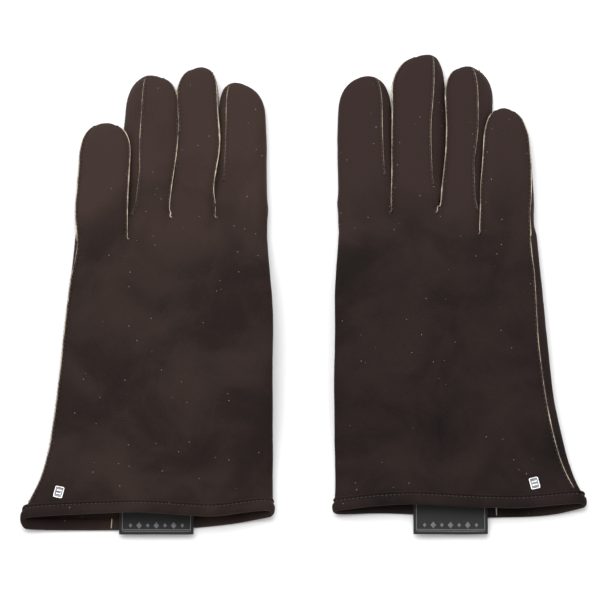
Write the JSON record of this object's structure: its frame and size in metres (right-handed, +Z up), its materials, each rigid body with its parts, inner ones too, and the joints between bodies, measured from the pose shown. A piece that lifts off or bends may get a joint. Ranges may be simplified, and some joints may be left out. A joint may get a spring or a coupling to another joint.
{
  "type": "pair of leather gloves",
  "caption": "Pair of unlined leather dress gloves lying back up, with hinged fingers, thumbs folded under, bound cuffs, woven labels and small silver plates.",
  "frame": {"origin": "middle of the pair's footprint, on the table the gloves lie on", "axes": "+X across the pair to the right glove, +Y from the cuffs to the fingertips, +Z up from the table"},
  "size_m": [0.3028, 0.2664, 0.0236],
  "materials": {
    "glove_leather": "dark brown velvety leather, matte",
    "seam_edge": "raw cream cut edge of the leather along a sewn seam",
    "dark_thread": "waxed dark brown sewing thread",
    "woven_label": "black woven satin ribbon with grey figure threads",
    "silver_plate": "small bright silver-coloured metal plate"
  },
  "bodies": {
    "left_hand": {"left_hand_back": "glove_leather", "left_hand_palm": "glove_leather", "left_cuff_binding": "glove_leather", "left_label": "woven_label", "left_plate": "silver_plate", "left_outseam_thread": "seam_edge", "left_hem_thread": "dark_thread", "left_label_thread": "dark_thread"},
    "left_index": {"left_index_wrap": "glove_leather", "left_index_fourchette": "glove_leather", "left_index_thread": "seam_edge"},
    "left_middle": {"left_middle_back": "glove_leather", "left_middle_palm": "glove_leather", "left_middle_fourchette_index": "glove_leather", "left_middle_fourchette_ring": "glove_leather", "left_middle_thread": "seam_edge"},
    "left_ring": {"left_ring_back": "glove_leather", "left_ring_palm": "glove_leather", "left_ring_fourchette_middle": "glove_leather", "left_ring_fourchette_little": "glove_leather", "left_ring_thread": "seam_edge"},
    "left_little": {"left_little_back": "glove_leather", "left_little_palm": "glove_leather", "left_little_fourchette": "glove_leather", "left_little_thread": "seam_edge"},
    "left_thumb": {"left_thumb_outer": "glove_leather", "left_thumb_inner": "glove_leather", "left_thumb_thread": "seam_edge"},
    "right_hand": {"right_hand_back": "glove_leather", "right_hand_palm": "glove_leather", "right_cuff_binding": "glove_leather", "right_label": "woven_label", "right_plate": "silver_plate", "right_outseam_thread": "seam_edge", "right_hem_thread": "dark_thread", "right_label_thread": "dark_thread"},
    "right_index": {"right_index_wrap": "glove_leather", "right_index_fourchette": "glove_leather", "right_index_thread": "seam_edge"},
    "right_middle": {"right_middle_back": "glove_leather", "right_middle_palm": "glove_leather", "right_middle_fourchette_index": "glove_leather", "right_middle_fourchette_ring": "glove_leather", "right_middle_thread": "seam_edge"},
    "right_ring": {"right_ring_back": "glove_leather", "right_ring_palm": "glove_leather", "right_ring_fourchette_middle": "glove_leather", "right_ring_fourchette_little": "glove_leather", "right_ring_thread": "seam_edge"},
    "right_little": {"right_little_back": "glove_leather", "right_little_palm": "glove_leather", "right_little_fourchette": "glove_leather", "right_little_thread": "seam_edge"},
    "right_thumb": {"right_thumb_outer": "glove_leather", "right_thumb_inner": "glove_leather", "right_thumb_thread": "seam_edge"}
  },
  "joints": [
    {"name": "left_index_curl", "type": "hinge", "parent": "left_hand", "child": "left_index", "pos_m": [-0.03325, 0.0421, 0], "axis": [-1, 0, 0], "range_deg": [-15, 85]},
    {"name": "left_middle_curl", "type": "hinge", "parent": "left_hand", "child": "left_middle", "pos_m": [-0.0583, 0.0421, 0], "axis": [-1, 0, 0], "range_deg": [-15, 85]},
    {"name": "left_ring_curl", "type": "hinge", "parent": "left_hand", "child": "left_ring", "pos_m": [-0.08185, 0.0421, 0], "axis": [-1, 0, 0], "range_deg": [-15, 85]},
    {"name": "left_little_curl", "type": "hinge", "parent": "left_hand", "child": "left_little", "pos_m": [-0.10735, 0.0301, 0], "axis": [-1, 0, 0], "range_deg": [-15, 85]},
    {"name": "left_thumb_swing", "type": "hinge", "parent": "left_hand", "child": "left_thumb", "pos_m": [-0.0185, -0.0379, 0.0102], "axis": [0, -1, 0], "range_deg": [0, 150]},
    {"name": "right_glove_slide", "type": "slide", "parent": "left_hand", "child": "right_hand", "axis": [1, 0, 0], "range_m": [0, 0.1]},
    {"name": "right_index_curl", "type": "hinge", "parent": "right_hand", "child": "right_index", "pos_m": [0.03265, 0.0476, 0], "axis": [-1, 0, 0], "range_deg": [-15, 85]},
    {"name": "right_middle_curl", "type": "hinge", "parent": "right_hand", "child": "right_middle", "pos_m": [0.0583, 0.0476, 0], "axis": [-1, 0, 0], "range_deg": [-15, 85]},
    {"name": "right_ring_curl", "type": "hinge", "parent": "right_hand", "child": "right_ring", "pos_m": [0.08205, 0.0476, 0], "axis": [-1, 0, 0], "range_deg": [-15, 85]},
    {"name": "right_little_curl", "type": "hinge", "parent": "right_hand", "child": "right_little", "pos_m": [0.10765, 0.0356, 0], "axis": [-1, 0, 0], "range_deg": [-15, 85]},
    {"name": "right_thumb_swing", "type": "hinge", "parent": "right_hand", "child": "right_thumb", "pos_m": [0.0185, -0.0304, 0.0102], "axis": [0, 1, 0], "range_deg": [0, 150]}
  ]
}
